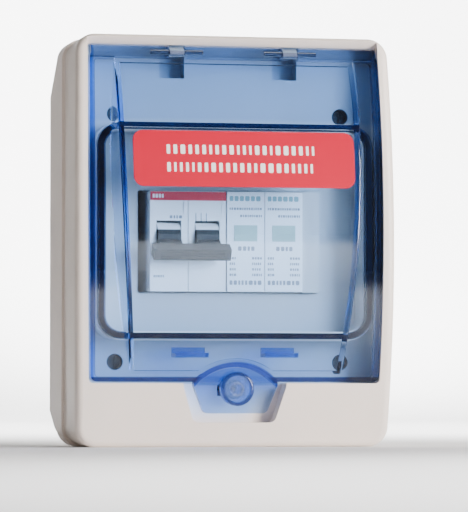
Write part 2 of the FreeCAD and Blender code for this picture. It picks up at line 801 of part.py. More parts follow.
def make_rail():
    back = S["rail_back"]
    gauge = S["rail_gauge"]
    front = back + S["rail_rise"]
    half = S["rail_half_height"]
    web = half - 5.0
    profile = [
        (back, web), (front - gauge, web), (front - gauge, half), (front, half),
        (front, web - gauge), (back + gauge, web - gauge), (back + gauge, -web + gauge),
        (front, -web + gauge), (front, -half), (front - gauge, -half), (front - gauge, -web),
        (back, -web),
    ]
    rail = side_profile("rail_hat", list(reversed(profile)), S["rail_half_length"])
    slots = []
    for index in range(-2, 3):
        middle = index * 23.5
        slots.append(block("rail_slot", (middle - 5, middle + 5), (5, 12), (-2.6, 2.6)))
        slots.append(stud("slot_end", middle - 5, (5, 12), 0, 2.6))
        slots.append(stud("slot_end", middle + 5, (5, 12), 0, 2.6))
    finish_part(cut("rail_slotted", rail, *slots), "din_rail")
    screws = []
    for across in (-S["rail_screw_offset"], S["rail_screw_offset"]):
        head = stud("rail_screw_head", across, (back + gauge, back + gauge + 2.2), 0, 3.4)
        shank = stud("rail_screw_shank", across, (4.2, back + gauge + 0.5), 0, 1.4)
        cross = cross_drive(across, back + 2.2, 0, 2.2, 0.45)
        screws.append(cut("rail_screw", fuse("rail_screw_body", head, shank), *cross))
    finish_part(group("rail_screw_pair", *screws), "rail_screws")


def cross_drive(across, floor, up, reach, half_gap):
    """The two crossed slots in a screw head, cut down to a floor depth."""
    return [
        block("drive_slot", (across - reach, across + reach), (floor, floor + 3),
              (up - half_gap, up + half_gap)),
        block("drive_slot", (across - half_gap, across + half_gap), (floor, floor + 3),
              (up - reach, up + reach)),
    ]


def make_cover_fasteners():
    inserts = []
    screws = []
    parting = S["parting_depth"]
    seat = S["screw_seat"]
    shank_radius = S["screw_radius"]
    depth_in = S["insert_depth"]
    for across in (-S["screw_offset"], S["screw_offset"]):
        for up in (S["screw_top"], -S["screw_bottom"]):
            sleeve = stud("insert_sleeve", across, (parting - depth_in, parting + 1.8), up,
                          S["insert_radius"])
            bore = stud("insert_bore", across, (parting - depth_in - 1, parting + 3), up,
                        shank_radius)
            inserts.append(cut("insert", sleeve, bore))
            head = stud("cover_screw_head", across, (seat, seat + 2.6), up, S["screw_head_radius"])
            shank = stud("cover_screw_shank", across, (parting - 6, seat + 0.5), up, shank_radius)
            cross = cross_drive(across, seat + 1.4, up, 2.4, 0.5)
            screws.append(cut("cover_screw", fuse("cover_screw_body", head, shank), *cross))
    finish_part(group("insert_set", *inserts), "thread_inserts")
    finish_part(group("cover_screw_set", *screws), "cover_screws")


def device_profile(name, across):
    """One module's housing: hooks behind the rail, low shoulders and a high middle."""
    high = S["device_half_height"]
    back = S["device_back"]
    shoulder = S["device_shoulder"]
    front = S["device_front"]
    nose = S["device_nose"]
    lip_back = S["rail_back"] + S["rail_rise"] - S["rail_gauge"] - 0.15
    seat = S["rail_back"] + S["rail_rise"] + 0.1
    rail = S["rail_half_height"] + 0.2
    corners = [
        (back, high), (back, rail - 3.2), (lip_back, rail - 3.2), (lip_back, rail),
        (seat, rail), (seat, -rail), (lip_back + 0.4, -rail), (lip_back + 0.4, 0 - high + 2),
        (back, 0 - high + 2), (back, 0 - high), (shoulder, 0 - high), (shoulder, 0 - nose),
        (front, 0 - nose), (front, nose), (shoulder, nose), (shoulder, high),
    ]
    return side_profile(name, corners, (S["module"] - 0.3) / 2, across)


def terminal_tools(across, side):
    """Screw way and wire way of one terminal, on the upper (1) or lower (-1) end."""
    top = S["device_half_height"]
    screw_up = side * (top - 8.5)
    wire = sorted((side * (top - 13.0), side * (top + 1)), key=lambda item: as_size(item).number)
    return [
        stud("terminal_way", across, (36, 60), screw_up, 3.1),
        block("wire_way", (across - 4.6, across + 4.6), (30.4, 41.0), wire),
    ]


def terminal_metal(across, side):
    """The clamp cage and its screw."""
    top = S["device_half_height"]
    middle = side * (top - 8.5)
    cage = cut(
        "cage_cut",
        block("cage_block", (across - 4.3, across + 4.3), (30.6, 40.8),
              (middle - 4.2, middle + 4.2)),
        block("cage_way", (across - 3.1, across + 3.1), (32.0, 38.4), (middle - 6, middle + 6)))
    head = stud("clamp_screw_head", across, (40.9, 46.5), middle, 2.8)
    drive = block("clamp_drive", (across - 2.3, across + 2.3), (45.2, 48),
                  (middle - 0.5, middle + 0.5))
    return cage, cut("clamp_screw", head, drive)


def make_din_clip(label, across):
    """The sliding foot that hooks behind the lower rail lip, with its pull tab."""
    back = S["device_back"] + 0.1
    lip_back = S["rail_back"] + S["rail_rise"] - S["rail_gauge"] - 0.2
    low = 0 - S["device_half_height"]
    rear = back - 1.8
    foot = block("clip_foot", (across - 4.0, across + 4.0), (rear, lip_back), (low + 6.4, -14.6))
    link = block("clip_link", (across - 4.0, across + 4.0), (rear, back - 0.3),
                 (low - 5.0, low + 8.0))
    tab = block("clip_tab", (across - 4.0, across + 4.0), (rear, back + 2.8),
                (low - 5.0, low - 3.2))
    slot = block("clip_slot", (across - 2.0, across + 2.0), (back - 3, back + 5),
                 (low - 3.0, low - 0.9))
    finish_part(cut(label + "_cut", fuse(label + "_body", foot, link, tab), slot), label)


def make_breaker():
    left = -S["devices_left"]
    module = S["module"]
    toggle_up = S["toggle_height"]
    toggle_in = S["toggle_depth"]
    cages = []
    screws = []
    levers = []
    for index, name in enumerate(("breaker_pole_left", "breaker_pole_right")):
        across = left + module * (index + 0.5)
        housing = device_profile(name + "_profile", across)
        tools = [
            block("toggle_slot", (across - 5.7, across + 5.7), (50, 70),
                  (toggle_up - 7.8, toggle_up + 7.8)),
            axle("toggle_recess", (across - 5.7, across + 5.7), toggle_in, toggle_up,
                 S["toggle_radius"] + 0.4),
            block("name_field", (across - 6.8, across + 6.8), (64.6, 68), (12.6, 17.4)),
        ]
        for side in (1, -1):
            tools.extend(terminal_tools(across, side))
            cage, screw = terminal_metal(across, side)
            cages.append(cage)
            screws.append(screw)
        finish_part(cut(name + "_cut", housing, *tools), name)
        levers.append(make_lever("lever_" + name, across))
    finish_part(group("breaker_cage_set", *cages), "breaker_clamps")
    finish_part(group("breaker_screw_set", *screws), "breaker_terminal_screws")
    stripe = block("stripe", (left + 0.25, left + 2 * module - 0.25), (65.0, 65.6), (18.3, 22.2))
    finish_part(stripe, "breaker_top_stripe")
    finish_part(group("toggle_levers", *levers), "breaker_toggles")
    bar_middle = left + module
    bar = leaning("tie_bar_block", bar_middle, 17.6, (11.6, 17.8), (-2.4, 3.0))
    tie = cut("tie_bar_cut", bar, *tie_grooves(bar_middle))
    finish_part(tie, "breaker_tie_bar")
    make_din_clip("breaker_din_clip", left + module)


def leaning(name, middle, half_width, reach, lift):
    """A block on the toggle: reach is away from the pivot and lift is across it."""
    item = DOC.addObject("Part::Box", name)
    bind(item, "Length", 2 * as_size(half_width))
    bind(item, "Width", as_size(reach[1]) - reach[0])
    bind(item, "Height", as_size(lift[1]) - lift[0])
    angle = math.radians(S["toggle_lean"].number)
    turn = FreeCAD.Rotation(FreeCAD.Vector(1, 0, 0), S["toggle_lean"].number)
    far = as_size(reach[1]).number
    low = as_size(lift[0]).number
    corner = FreeCAD.Vector(0, -far, low)
    moved = turn.multVec(corner)
    item.Placement = FreeCAD.Placement(FreeCAD.Vector(0, 0, 0), turn)
    bind(item, "Placement.Base.x", middle - half_width)
    bind(item, "Placement.Base.y", -S["toggle_depth"] + moved.y)
    bind(item, "Placement.Base.z", S["toggle_height"] + moved.z)
    return item


def tie_grooves(middle):
    """Grip lines along the front of the tie bar."""
    return [
        leaning("grip_line", middle, 14.5, (17.3, 19), (lift, lift + 0.5))
        for lift in (-1.2, 0.1, 1.4)
    ]


def make_lever(name, across):
    """One pole's rocking lever: a round hub and the arm that meets the tie bar."""
    hub = axle(name + "_hub", (across - 5.2, across + 5.2), S["toggle_depth"], S["toggle_height"],
               S["toggle_radius"])
    arm = leaning(name + "_arm", across, 5.2, (4.0, 11.6), (-2.6, 2.6))
    return fuse(name, hub, arm)


def make_surge_module(label, index):
    """A plug-in surge arrester: base with horns, cartridge, status window and blades."""
    across = -S["devices_left"] + S["module"] * (index + 2.5)
    half = (S["module"] - 0.3) / 2
    base = device_profile(label + "_profile", across)
    cap_back = S["device_front"] - 3.1
    cap_half = S["device_nose"] - 0.1
    tools = [
        block("cartridge_bay", (across - 10, across + 10), (38.0, 70), (-18.6, 18.6)),
        block("cap_space", (across - 10, across + 10), (cap_back - 0.3, 70), (-23, 23)),
    ]
    metal = []
    screws = []
    for side in (1, -1):
        tools.extend(terminal_tools(across, side))
        cage, screw = terminal_metal(across, side)
        metal.append(cage)
        screws.append(screw)
    for up in (-11.0, 11.0):
        tools.append(block("blade_way", (across - 0.9, across + 0.9), (27.5, 40),
                           (up - 4.3, up + 4.3)))
    finish_part(cut(label + "_base_cut", base, *tools), label + "_base")
    side = (across - half, across + half)
    body = fuse(
        label + "_cartridge_body",
        block("cartridge_block", side, (38.4, cap_back + 0.5), (-18.2, 18.2)),
        block("cartridge_cap", side, (cap_back, 65.6), (-cap_half, cap_half)))
    details = [
        block("window_seat", (across - 5.3, across + 5.3), (64.4, 67), (0.2, 7.4)),
        block("grip_cut", (across - 3, across + 3), (60, 64.2), (cap_half - 1, cap_half + 1)),
        block("grip_cut", (across - 3, across + 3), (60, 64.2), (-cap_half - 1, 1 - cap_half)),
    ]
    finish_part(cut(label + "_cartridge_cut", body, *details), label + "_cartridge")
    window = block("window_pane", (across - 5.3, across + 5.3), (64.4, 65.8), (0.2, 7.4))
    finish_part(window, label + "_window")
    blades = [
        block("blade", (across - 0.5, across + 0.5), (29.0, 38.4), (up - 3.6, up + 3.6))
        for up in (-11.0, 11.0)
    ]
    finish_part(group(label + "_blade_pair", *blades), label + "_blades")
    make_din_clip(label + "_din_clip", across)
    return metal, screws


def make_surge_row():
    cages = []
    screws = []
    for index, label in enumerate(("surge_left", "surge_right")):
        more_cages, more_screws = make_surge_module(label, index)
        cages.extend(more_cages)
        screws.extend(more_screws)
    finish_part(group("surge_cage_set", *cages), "surge_clamps")
    finish_part(group("surge_screw_set", *screws), "surge_terminal_screws")


def make_blank():
    """The half-module blank that fills the rest of the window."""
    left = -S["devices_left"] + 4 * S["module"] + 0.1
    right = S["window_half_width"] - 0.2
    plate = block("blank_plate", (left, right), (60.6, 64.4), (-22.7, 22.7))
    skirt = block("blank_skirt", (left + 0.6, right - 0.6), (54.5, 61), (-22.4, 22.4))
    hollow = block("blank_hollow", (left + 1.8, right - 1.8), (50, 62.2), (-21, 21))
    catches = [
        block("blank_catch", (left + 1.2, right - 1.2), (55.6, 56.6), (22.0, 23.6)),
        block("blank_catch", (left + 1.2, right - 1.2), (55.6, 56.6), (-23.6, -22.0)),
    ]
    finish_part(cut("blank_cut", fuse("blank_body", plate, skirt, *catches), hollow), "blank_cover")


def make_earth_bar():
    seat = S["earth_seat"]
    up = -S["earth_height"]
    anchor_places = (-S["earth_anchor_offset"], S["earth_anchor_offset"])
    screw_places = [S["earth_screw_pitch"] * (step - 2.5) for step in range(6)]
    holder = fuse(
        "holder_body",
        block("holder_strip", (-27, 27), (seat, seat + 3.5), (up - 3.5, up + 3.5)),
        block("holder_end", (-27, -23.6), (seat, seat + 6.5), (up - 4.5, up + 4.5)),
        block("holder_end", (23.6, 27), (seat, seat + 6.5), (up - 4.5, up + 4.5)))
    ways = [stud("holder_way", across, (seat - 1, seat + 5), up, 1.5) for across in anchor_places]
    finish_part(cut("holder_cut", holder, *ways), "earth_bar_holder")

    bar = block("bar_block", (-23.4, 23.4), (seat + 5.2, seat + 13), (up - 3.2, up + 3.2))
    tools = []
    screws = []
    for across in screw_places:
        tools.append(stud("bar_screw_way", across, (seat + 8.5, seat + 14), up, 1.75))
        tools.append(post("bar_wire_way", across, seat + 7.6, (up - 5, up + 5), 1.6))
        head = stud("bar_screw_head", across, (seat + 9.6, seat + 14.4), up, 1.7)
        drive = block("bar_drive", (across - 1.4, across + 1.4), (seat + 13.5, seat + 15),
                      (up - 0.3, up + 0.3))
        screws.append(cut("bar_screw", head, drive))
    finish_part(cut("bar_cut", bar, *tools), "earth_bar")
    finish_part(group("bar_screw_set", *screws), "earth_bar_screws")

    anchors = []
    for across in anchor_places:
        head = stud("anchor_head", across, (seat + 3.5, seat + 4.9), up, 2.6)
        shank = stud("anchor_shank", across, (seat / 2, seat + 4), up, 1.15)
        anchors.append(fuse("anchor", head, shank))
    finish_part(group("anchor_pair", *anchors), "earth_bar_anchors")


def wire_loop(name, route, radius):
    """An insulated wire of straight runs and the largest arcs that its corners allow."""
    points = [FreeCAD.Vector(x, -depth, up) for x, depth, up in route]
    edges = []
    last = points[0]
    for index in range(1, len(points) - 1):
        before = points[index] - points[index - 1]
        after = points[index + 1] - points[index]
        half_turn = before.getAngle(after) / 2
        reach = 0.45 * min(before.Length, after.Length)
        arc_start = points[index] - before.normalize() * reach
        arc_end = points[index] + after.normalize() * reach
        inward = (after - before).normalize()
        bend = reach / math.tan(half_turn)
        middle = points[index] + inward * (bend / math.cos(half_turn) - bend)
        edges.append(Part.LineSegment(last, arc_start).toShape())
        edges.append(Part.Arc(arc_start, middle, arc_end).toShape())
        last = arc_end
    edges.append(Part.LineSegment(last, points[-1]).toShape())
    path = Part.Wire(edges)
    start = (points[1] - points[0]).normalize()
    ring = Part.Wire(Part.makeCircle(radius, points[0], start))
    item = DOC.addObject("Part::Feature", name)
    item.Shape = path.makePipeShell([ring], True, True)
    return item


def make_wires():
    module = S["module"].number
    first = -S["devices_left"].number + module / 2
    top = S["device_half_height"].number
    way_in = 35.2
    for label, start, end, crown in (
            ("line_wire", first, first + 3 * module, 59.0),
            ("neutral_wire", first + module, first + 2 * module, 52.0)):
        route = [(start, way_in, top - 11), (start, way_in, crown), (end, way_in, crown),
                 (end, way_in, top - 11)]
        finish_part(wire_loop(label, route, 1.7), label)
    drops = []
    for across, bar_place in ((first + 2 * module, 3.6), (first + 3 * module, 18.0)):
        route = [(across, way_in, 11 - top), (across, way_in, -48.5), (bar_place, 21.6, -54.0),
                 (bar_place, 21.6, -60.5)]
        drops.append(wire_loop("earth_drop", route, 1.4))
    finish_part(group("earth_drop_pair", *drops), "earth_wires")


# ---------------------------------------------------------------- build, check and write

def check_document():
    """Stop if any object failed to compute or any sub-part isn't sound."""
    DOC.recompute()
    for item in DOC.Objects:
        if "Invalid" in item.State or "Error" in item.State:
            raise RuntimeError(f"{item.Name} failed: {item.State}")
    for item in SUB_PARTS:
        if item.Shape.isNull() or not item.Shape.isValid():
            raise RuntimeError(f"{item.Label} has no valid shape")


make_base()
make_cover()
make_door()
make_latch()
make_rail()
make_cover_fasteners()
make_breaker()
make_surge_row()
make_blank()
make_earth_bar()
make_wires()
check_document()

os.makedirs("parts", exist_ok=True)
for part in SUB_PARTS:
    part.Shape.exportStep(f"parts/{part.Label}.step")
    box = part.Shape.BoundBox
    print(f"{part.Label}: {len(part.Shape.Solids)} solids, {part.Shape.Volume:.0f} mm3, "
          f"x {box.XMin:.1f} {box.XMax:.1f}, depth {-box.YMax:.1f} {-box.YMin:.1f}, "
          f"z {box.ZMin:.1f} {box.ZMax:.1f}")
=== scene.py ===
import math
import random

import bmesh
import bpy
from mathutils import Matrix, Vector


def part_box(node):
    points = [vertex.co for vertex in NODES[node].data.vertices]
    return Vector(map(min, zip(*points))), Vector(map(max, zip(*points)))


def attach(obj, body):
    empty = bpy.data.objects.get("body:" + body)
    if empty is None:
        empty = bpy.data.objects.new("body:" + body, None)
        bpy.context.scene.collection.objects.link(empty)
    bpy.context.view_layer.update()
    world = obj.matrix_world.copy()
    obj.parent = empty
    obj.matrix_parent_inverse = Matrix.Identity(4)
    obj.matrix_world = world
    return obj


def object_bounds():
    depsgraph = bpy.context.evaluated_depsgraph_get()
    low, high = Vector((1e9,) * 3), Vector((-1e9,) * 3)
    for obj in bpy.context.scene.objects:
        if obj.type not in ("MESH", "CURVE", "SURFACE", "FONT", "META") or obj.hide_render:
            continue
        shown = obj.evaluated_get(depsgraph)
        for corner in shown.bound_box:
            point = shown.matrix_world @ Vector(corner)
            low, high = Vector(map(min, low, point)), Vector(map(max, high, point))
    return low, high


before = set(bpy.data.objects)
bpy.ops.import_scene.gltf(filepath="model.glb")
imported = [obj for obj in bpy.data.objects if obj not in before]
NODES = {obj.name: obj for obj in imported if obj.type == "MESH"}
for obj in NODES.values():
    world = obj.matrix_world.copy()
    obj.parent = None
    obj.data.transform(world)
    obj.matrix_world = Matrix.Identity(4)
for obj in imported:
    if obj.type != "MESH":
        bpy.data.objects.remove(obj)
cad_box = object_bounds()

MM = 0.001
FLOOR_HEIGHT = cad_box[0][2]


# ---------------------------------------------------------------- camera, floor and light

PHOTO_HEIGHT = 512
VIEW_AZIMUTH = math.radians(-12.0)
VIEW_ELEVATION = math.radians(-2.3)
VIEW_DISTANCE = 1.6
PIXELS_PER_METRE = 2234.0
AIM = Vector((-0.9 * MM, -78.0 * MM, -7.0 * MM))


def make_camera():
    """A long lens, a little to the left of the box and a little below its middle."""
    data = bpy.data.cameras.new("camera")
    data.sensor_fit = "VERTICAL"
    data.sensor_height = 24.0
    data.lens = PIXELS_PER_METRE * VIEW_DISTANCE * data.sensor_height / PHOTO_HEIGHT
    data.clip_start = 0.02
    data.clip_end = 60.0
    camera = bpy.data.objects.new("camera", data)
    bpy.context.scene.collection.objects.link(camera)
    away = Vector((
        math.sin(VIEW_AZIMUTH) * math.cos(VIEW_ELEVATION),
        -math.cos(VIEW_AZIMUTH) * math.cos(VIEW_ELEVATION),
        math.sin(VIEW_ELEVATION)))
    camera.location = AIM + away * VIEW_DISTANCE
    camera.rotation_euler = (AIM - camera.location).to_track_quat("-Z", "Y").to_euler()
    bpy.context.scene.camera = camera


def new_material(name):
    """A new node material, with its nodes, links and shader."""
    material = bpy.data.materials.new(name)
    material.use_nodes = True
    nodes = material.node_tree.nodes
    shader = nodes["Principled BSDF"]
    return material, nodes, material.node_tree.links, shader


def make_floor():
    """A pale floor that curves up into a pale wall far behind the box."""
    front = -3.5
    back = 3.2
    half_width = 5.0
    wall_top = 4.5
    bend = 1.4
    steps = 16
    profile = [(front, 0.0), (back - bend, 0.0)]
    for step in range(1, steps + 1):
        angle = math.pi / 2 * step / steps
        profile.append((back - bend + bend * math.sin(angle), bend - bend * math.cos(angle)))
    profile.append((back, wall_top))
    mesh = bmesh.new()
    rows = []
    for side in (-half_width, half_width):
        rows.append([mesh.verts.new((side, y, FLOOR_HEIGHT + z)) for y, z in profile])
    for index in range(len(profile) - 1):
        mesh.faces.new((rows[0][index], rows[1][index], rows[1][index + 1], rows[0][index + 1]))
    floor = mesh_object("floor_sweep", mesh, smooth=True)
    material, _, _, shader = new_material("pale_floor")
    shader.inputs["Base Color"].default_value = (0.94, 0.94, 0.94, 1.0)
    shader.inputs["Roughness"].default_value = 0.75
    floor.data.materials.append(material)


def mesh_object(name, mesh, smooth=False):
    """Turn a bmesh into an object in the scene."""
    data = bpy.data.meshes.new(name)
    bmesh.ops.recalc_face_normals(mesh, faces=mesh.faces)
    mesh.to_mesh(data)
    mesh.free()
    if smooth:
        for polygon in data.polygons:
            polygon.use_smooth = True
    piece = bpy.data.objects.new(name, data)
    bpy.context.scene.collection.objects.link(piece)
    return piece


def place_lamp(data, place, aim):
    """Put a light into the scene, turned towards a point."""
    lamp = bpy.data.objects.new(data.name, data)
    lamp.location = Vector(place)
    lamp.rotation_euler = (Vector(aim) - lamp.location).to_track_quat("-Z", "Y").to_euler()
    bpy.context.scene.collection.objects.link(lamp)


def area_light(name, place, aim, size, power, tint=(1.0, 1.0, 1.0)):
    """A rectangular softbox of a width and height, in watts."""
    data = bpy.data.lights.new(name, "AREA")
    data.shape = "RECTANGLE"
    data.size, data.size_y = size
    data.energy = power
    data.color = tint
    place_lamp(data, place, aim)


def backdrop_spot(name, place, aim, angle, power):
    """A wide spot that whitens the floor or the wall and stays off the box itself."""
    data = bpy.data.lights.new(name, "SPOT")
    data.energy = power
    data.spot_size = math.radians(angle)
    data.spot_blend = 0.8
    data.shadow_soft_size = 0.15
    place_lamp(data, place, aim)


def make_lights():
    """A key from the right that clears the door's mirror direction, fills, and backdrop spots."""
    area_light("key_softbox", (1.05, -1.25, 0.3), (0, 0, 0), (0.6, 0.8), 53.0, (1.0, 0.955, 0.94))
    area_light("left_fill", (-1.9, -1.9, 0.5), (0, 0, 0), (0.8, 1.2), 0.6, (1.0, 0.93, 0.84))
    area_light("right_strip", (0.62, -0.62, 0.0), (0.05, -0.09, 0.0), (0.05, 0.22), 1.4)
    area_light("top_softbox", (0.9, -0.25, 1.4), (0, 0, 0), (0.7, 0.6), 9.0)
    backdrop_spot("wall_spot", (0.3, 0.7, 1.9), (0.7, 3.0, 0.25), 48.0, 2100.0)
    backdrop_spot("front_floor_spot", (0.3, -0.95, 1.6), (0.15, -0.8, -0.1), 38.0, 260.0)
    backdrop_spot("floor_spot", (0.3, 0.9, 1.9), (0.3, 1.2, -0.1), 70.0, 800.0)
    world = bpy.data.worlds.new("pale_room")
    world.use_nodes = True
    background = world.node_tree.nodes["Background"]
    background.inputs["Color"].default_value = (1.0, 0.975, 0.95, 1.0)
    background.inputs["Strength"].default_value = 0.19
    bpy.context.scene.world = world


# ---------------------------------------------------------------- materials

def noise(nodes, links, scale, detail=3.0, roughness=0.5, vector=None):
    """A noise factor in the piece's own frame, with its scale in cycles per metre."""
    texture = nodes.new("ShaderNodeTexNoise")
    texture.inputs["Scale"].default_value = scale
    texture.inputs["Detail"].default_value = detail
    texture.inputs["Roughness"].default_value = roughness
    if vector is None:
        vector = nodes.new("ShaderNodeTexCoord").outputs["Object"]
    links.new(vector, texture.inputs["Vector"])
    return texture.outputs["Fac"]


def ramp(nodes, links, source, stops):
    """A colour ramp over a factor."""
    node = nodes.new("ShaderNodeValToRGB")
    elements = node.color_ramp.elements
    elements[0].position, elements[0].color = stops[0]
    elements[1].position, elements[1].color = stops[-1]
    for position, colour in stops[1:-1]:
        elements.new(position).color = colour
    links.new(source, node.inputs["Fac"])
    return node.outputs["Color"]


def spread(nodes, links, source, low, high):
    """Map a factor in 0..1 to a range."""
    node = nodes.new("ShaderNodeMapRange")
    node.inputs["To Min"].default_value = low
    node.inputs["To Max"].default_value = high
    links.new(source, node.inputs["Value"])
    return node.outputs["Result"]


def add_bump(nodes, links, shader, layers):
    """Stack bump layers of (factor, strength, distance)."""
    normal = None
    for source, strength, distance in layers:
        bump = nodes.new("ShaderNodeBump")
        bump.inputs["Strength"].default_value = strength
        bump.inputs["Distance"].default_value = distance
        links.new(source, bump.inputs["Height"])
        if normal is not None:
            links.new(normal, bump.inputs["Normal"])
        normal = bump.outputs["Normal"]
    links.new(normal, shader.inputs["Normal"])


def toned(colour, factor):
    """A colour made darker or lighter, with its alpha."""
    return (colour[0] * factor, colour[1] * factor, colour[2] * factor, 1.0)


def moulded(name, colour, gloss=(0.38, 0.5), grain=2600.0, grain_depth=0.02, cloud=0.035,
            tint=None, shine=0.5):
    """Moulded plastic: faint flow clouds, fine spark-eroded grain and slightly uneven gloss."""
    material, nodes, links, shader = new_material(name)
    clouds = noise(nodes, links, 28.0, 4.0, 0.6)
    shade = ramp(nodes, links, clouds, [
        (0.3, toned(colour, 1.0 - cloud)), (0.7, toned(colour, 1.0 + cloud * 0.4))])
    if tint is not None:
        shade = tint(nodes, links, shade)
    links.new(shade, shader.inputs["Base Color"])
    fine = noise(nodes, links, grain, 2.0, 0.55)
    wear = noise(nodes, links, 90.0, 3.0)
    links.new(spread(nodes, links, wear, *gloss), shader.inputs["Roughness"])
    sink = noise(nodes, links, 14.0, 1.0)
    add_bump(nodes, links, shader, [
        (fine, 0.25, grain_depth * MM), (sink, 0.12, 0.35 * MM)])
    shader.inputs["IOR"].default_value = 1.5
    shader.inputs["Specular IOR Level"].default_value = shine
    return material


def tinted_clear(name, tint, density, colour, frost=0.03, shadow=(0.95, 0.97, 1.0),
                 clarity=1.0):
    """Clear tinted polycarbonate, deeper in colour where light travels further in it.

    The surface colour is one colour or a function that builds it. Shadow rays pass straight
    through, tinted, so that the light behind the pane stays soft.
    """
    material, nodes, links, shader = new_material(name)
    if callable(colour):
        links.new(colour(nodes, links), shader.inputs["Base Color"])
    else:
        shader.inputs["Base Color"].default_value = (*colour, 1.0)
    shader.inputs["Transmission Weight"].default_value = clarity
    shader.inputs["IOR"].default_value = 1.5
    wear = noise(nodes, links, 55.0, 5.0, 0.65)
    links.new(spread(nodes, links, wear, frost * 0.5, frost * 1.6), shader.inputs["Roughness"])
    add_bump(nodes, links, shader, [(noise(nodes, links, 9.0, 1.0), 0.25, 0.25 * MM)])
    absorb = nodes.new("ShaderNodeVolumeAbsorption")
    absorb.inputs["Color"].default_value = (*tint, 1.0)
    absorb.inputs["Density"].default_value = density
    output = nodes["Material Output"]
    links.new(absorb.outputs["Volume"], output.inputs["Volume"])
    through = nodes.new("ShaderNodeBsdfTransparent")
    through.inputs["Color"].default_value = (*shadow, 1.0)
    path = nodes.new("ShaderNodeLightPath")
    mix = nodes.new("ShaderNodeMixShader")
    links.new(path.outputs["Is Shadow Ray"], mix.inputs["Fac"])
    links.new(shader.outputs["BSDF"], mix.inputs[1])
    links.new(through.outputs["BSDF"], mix.inputs[2])
    links.new(mix.outputs["Shader"], output.inputs["Surface"])
    return material


def math_node(nodes, links, operation, first, second=None):
    """One arithmetic step on a socket and a socket or number."""
    node = nodes.new("ShaderNodeMath")
    node.operation = operation
    links.new(first, node.inputs[0])
    if second is not None:
        if isinstance(second, float):
            node.inputs[1].default_value = second
        else:
            links.new(second, node.inputs[1])
    return node.outputs["Value"]


def band(nodes, links, source, start, full):
    """Rises smoothly from 0 at the start to 1 at the full value, and may run either way."""
    node = nodes.new("ShaderNodeMapRange")
    node.interpolation_type = "SMOOTHSTEP"
    node.inputs["From Min"].default_value = start
    node.inputs["From Max"].default_value = full
    links.new(source, node.inputs["Value"])
    return node.outputs["Result"]


def position(nodes, links):
    """The X, Y and Z sockets of the surface point, in the piece's own frame."""
    split = nodes.new("ShaderNodeSeparateXYZ")
    links.new(nodes.new("ShaderNodeTexCoord").outputs["Object"], split.inputs["Vector"])
    return split.outputs["X"], split.outputs["Y"], split.outputs["Z"]


def both(nodes, links, first, *others):
    """1 where every mask is 1."""
    for other in others:
        first = math_node(nodes, links, "MULTIPLY", first, other)
    return first


def between(nodes, links, source, low, high, soft=0.4 * MM):
    """1 between two values, with soft ends."""
    return both(nodes, links, band(nodes, links, source, low - soft, low),
                band(nodes, links, source, high + soft, high))


def distance(nodes, links, first, first_at, second, second_at):
    """How far a point lies from an axis, from two of its coordinates."""
    squares = []
    for source, value in ((first, first_at), (second, second_at)):
        offset = math_node(nodes, links, "SUBTRACT", source, float(value))
        squares.append(math_node(nodes, links, "MULTIPLY", offset, offset))
    total = math_node(nodes, links, "ADD", squares[0], squares[1])
    return math_node(nodes, links, "SQRT", total)


def tinted(nodes, links, colour, layers):
    """Multiply a colour by each layer's tint where that layer's mask is 1."""
    for mask, tint in layers:
        mix = nodes.new("ShaderNodeMix")
        mix.data_type = "RGBA"
        mix.blend_type = "MULTIPLY"
        links.new(mask, mix.inputs["Factor"])
        links.new(colour, mix.inputs["A"])
        mix.inputs["B"].default_value = (*tint, 1.0)
        colour = mix.outputs["Result"]
    return colour


SEAL_CORNER = 10.6 * MM
SEAL_LAND_WIDTH = 3.1 * MM
SEAL_LAND_DEPTH = -79.6 * MM
KNOB_ABOVE_SILL = 5.0 * MM
RIM_WIDTH = 3.2 * MM
ARC_BELOW_KNOB = 14.2 * MM
ARC_INNER = 24.2 * MM
ARC_OUTER = 26.2 * MM
HOOK_NEAR, HOOK_FAR = 12.9 * MM, 28.1 * MM
HOOK_BOTTOM, HOOK_TOP = -52.1 * MM, -47.5 * MM


def ring_mask(nodes, links, across, up):
    """1 over the door's land that presses on the seal, a ring with rounded corners."""
    low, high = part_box("door_gasket")
    middle = float(low[2] + high[2]) / 2
    from_middle = math_node(nodes, links, "SUBTRACT", up, middle)
    sides = (
        (math_node(nodes, links, "ABSOLUTE", across), high[0]),
        (math_node(nodes, links, "ABSOLUTE", from_middle), (high[2] - low[2]) / 2))
    squares = []
    for source, half_size in sides:
        past = math_node(nodes, links, "SUBTRACT", source, float(half_size - SEAL_CORNER))
        past = math_node(nodes, links, "MAXIMUM", past, 0.0)
        squares.append(math_node(nodes, links, "MULTIPLY", past, past))
    total = math_node(nodes, links, "ADD", squares[0], squares[1])
    reach = math_node(nodes, links, "SQRT", total)
    return between(nodes, links, reach, SEAL_CORNER - SEAL_LAND_WIDTH, SEAL_CORNER + 0.2 * MM,
                   0.25 * MM)


def knob_middle():
    """Height of the latch knob's axis."""
    low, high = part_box("latch_knob")
    return (low[2] + high[2]) / 2


